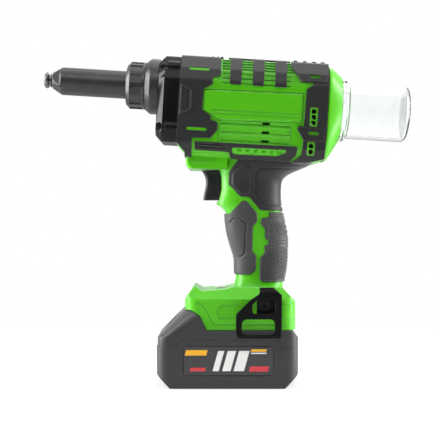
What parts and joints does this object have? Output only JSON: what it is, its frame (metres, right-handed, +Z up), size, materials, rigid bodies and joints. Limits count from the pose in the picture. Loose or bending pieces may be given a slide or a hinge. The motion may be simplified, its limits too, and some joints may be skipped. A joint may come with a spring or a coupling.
{
  "type": "cordless rivet tool",
  "caption": "Cordless rivet tool with pistol grip, screw-drive pulling nose, clear rear cup for spent mandrels, belt hook and slide-on battery.",
  "frame": {"origin": "middle of the battery's base face", "axes": "+Z up out of the base, nose towards -X, mandrel cup towards +X, belt hook on the -Y side"},
  "size_m": [0.3196, 0.088, 0.285],
  "materials": {
    "shell_green": "satin moulded green plastic",
    "rubber_dark": "soft dark grey overmould",
    "black_metal": "black coated metal",
    "nose_grey": "dark satin coated steel",
    "steel": "bright machined steel",
    "clear_cup": "clear plastic",
    "lens": "frosted clear plastic",
    "winding": "copper winding on steel core",
    "contact": "plated copper contact",
    "black_plastic": "black moulded plastic",
    "white_plastic": "white plastic",
    "board": "circuit board",
    "pack_case": "dark grey moulded plastic",
    "cell": "wrapped cell"
  },
  "bodies": {
    "tool": {"housing_left": "shell_green", "housing_right": "shell_green", "front_overmould": "rubber_dark", "rear_overmould": "rubber_dark", "top_guard": "rubber_dark", "side_strips": "rubber_dark", "upper_grip": "rubber_dark", "front_grip": "rubber_dark", "rear_grip": "rubber_dark", "rear_cap": "shell_green", "gear_case": "black_metal", "gear_case_screws": "steel", "nose_adapter": "black_metal", "nose_sleeve": "nose_grey", "nosepiece": "steel", "housing_screws": "steel", "stator": "winding", "ring_gear": "steel", "nut_bearings": "steel", "motor_bearings": "steel", "guide_tube": "steel", "trigger_switch": "black_plastic", "trigger_spring": "steel", "control_board": "board", "terminal_block": "black_plastic", "wiring": "contact", "light_lens": "lens", "belt_hook": "black_metal", "belt_hook_screw": "steel"},
    "trigger": {"trigger": "black_plastic"},
    "mode_button": {"mode_button": "white_plastic"},
    "collar": {"collar_nut": "nose_grey"},
    "cup": {"mandrel_cup": "clear_cup", "cup_seal": "rubber_dark"},
    "nut": {"screw_nut": "steel", "nut_gear": "steel"},
    "puller": {"spindle": "steel", "jaw_case": "steel", "jaw_spring": "steel"},
    "jaw_1": {"jaw_1": "steel"},
    "jaw_2": {"jaw_2": "steel"},
    "jaw_3": {"jaw_3": "steel"},
    "pusher": {"jaw_pusher": "steel"},
    "rotor": {"rotor": "steel", "fan": "black_plastic"},
    "carrier": {"carrier": "steel"},
    "planet_1": {"planet_1": "steel"},
    "planet_2": {"planet_2": "steel"},
    "planet_3": {"planet_3": "steel"},
    "battery": {"battery_lower_case": "pack_case", "battery_upper_case": "pack_case", "battery_cells": "cell", "cell_holders": "black_plastic", "cell_straps": "steel", "battery_board": "board", "battery_terminals": "contact", "battery_screws": "steel", "latch_spring": "steel"},
    "latch": {"battery_latch": "shell_green"}
  },
  "joints": [
    {"name": "trigger_pull", "type": "slide", "parent": "tool", "child": "trigger", "axis": [1, 0, 0], "range_m": [0, 0.006], "stiffness_N_per_m": 600, "deforming": ["trigger_spring"]},
    {"name": "button_press", "type": "slide", "parent": "tool", "child": "mode_button", "axis": [0, 0, -1], "range_m": [0, 0.001], "stiffness_N_per_m": 800},
    {"name": "battery_slide", "type": "slide", "parent": "tool", "child": "battery", "axis": [-1, 0, 0], "range_m": [0, 0.12]},
    {"name": "latch_press", "type": "slide", "parent": "battery", "child": "latch", "axis": [0.7147, 0, -0.6994], "range_m": [0, 0.003], "stiffness_N_per_m": 700, "deforming": ["latch_spring"]},
    {"name": "cup_pull", "type": "slide", "parent": "tool", "child": "cup", "axis": [0.9981, 0, -0.061], "range_m": [0, 0.08]},
    {"name": "collar_turn", "type": "hinge", "parent": "tool", "child": "collar", "pos_m": [-0.07985, 0, 0.26048], "axis": [0.9981, 0, -0.061], "continuous": true},
    {"name": "nut_spin", "type": "hinge", "parent": "tool", "child": "nut", "pos_m": [-0.03993, 0, 0.25804], "axis": [0.9981, 0, -0.061], "range_deg": [0, 1800.01]},
    {"name": "spindle_slide", "type": "slide", "parent": "tool", "child": "puller", "axis": [0.9981, 0, -0.061], "range_m": [0, 0.02]},
    {"name": "carrier_spin", "type": "hinge", "parent": "tool", "child": "carrier", "pos_m": [-0.00189, 0, 0.22466], "axis": [-0.9981, 0, 0.061], "range_deg": [0, 3780.01]},
    {"name": "rotor_spin", "type": "hinge", "parent": "tool", "child": "rotor", "pos_m": [-0.00189, 0, 0.22466], "axis": [-0.9981, 0, 0.061], "range_deg": [0, 17010.02]},
    {"name": "planet_1_spin", "type": "hinge", "parent": "carrier", "child": "planet_1", "pos_m": [-0.00132, 0, 0.23409], "axis": [0.9981, 0, -0.061], "range_deg": [0, 10584.02]},
    {"name": "planet_2_spin", "type": "hinge", "parent": "carrier", "child": "planet_2", "pos_m": [-0.00218, 0.00818, 0.21994], "axis": [0.9981, 0, -0.061], "range_deg": [0, 10584.02]},
    {"name": "planet_3_spin", "type": "hinge", "parent": "carrier", "child": "planet_3", "pos_m": [-0.00218, -0.00818, 0.21994], "axis": [0.9981, 0, -0.061], "range_deg": [0, 10584.02]},
    {"name": "jaw_1_grip", "type": "slide", "parent": "puller", "child": "jaw_1", "axis": [-0.9936, 0, -0.1133], "range_m": [0, 0.0012], "stiffness_N_per_m": 300, "deforming": ["jaw_spring"]},
    {"name": "jaw_2_grip", "type": "slide", "parent": "puller", "child": "jaw_2", "axis": [-0.9776, -0.1505, 0.1469], "range_m": [0, 0.0012]},
    {"name": "jaw_3_grip", "type": "slide", "parent": "puller", "child": "jaw_3", "axis": [-0.9776, 0.1505, 0.1469], "range_m": [0, 0.0012]},
    {"name": "pusher_slide", "type": "slide", "parent": "puller", "child": "pusher", "axis": [-0.9981, 0, 0.061], "range_m": [0, 0.0012]}
  ],
  "couplings": [
    {"joint": "nut_spin", "follows": "spindle_slide", "rad_per_m": 1570.8},
    {"joint": "carrier_spin", "follows": "spindle_slide", "rad_per_m": 3298.7},
    {"joint": "rotor_spin", "follows": "spindle_slide", "rad_per_m": 14844},
    {"joint": "planet_1_spin", "follows": "spindle_slide", "rad_per_m": 9236.3},
    {"joint": "planet_2_spin", "follows": "spindle_slide", "rad_per_m": 9236.3},
    {"joint": "planet_3_spin", "follows": "spindle_slide", "rad_per_m": 9236.3},
    {"joint": "jaw_2_grip", "follows": "jaw_1_grip", "ratio": 1},
    {"joint": "jaw_3_grip", "follows": "jaw_1_grip", "ratio": 1},
    {"joint": "pusher_slide", "follows": "jaw_1_grip", "ratio": 0.98478}
  ]
}
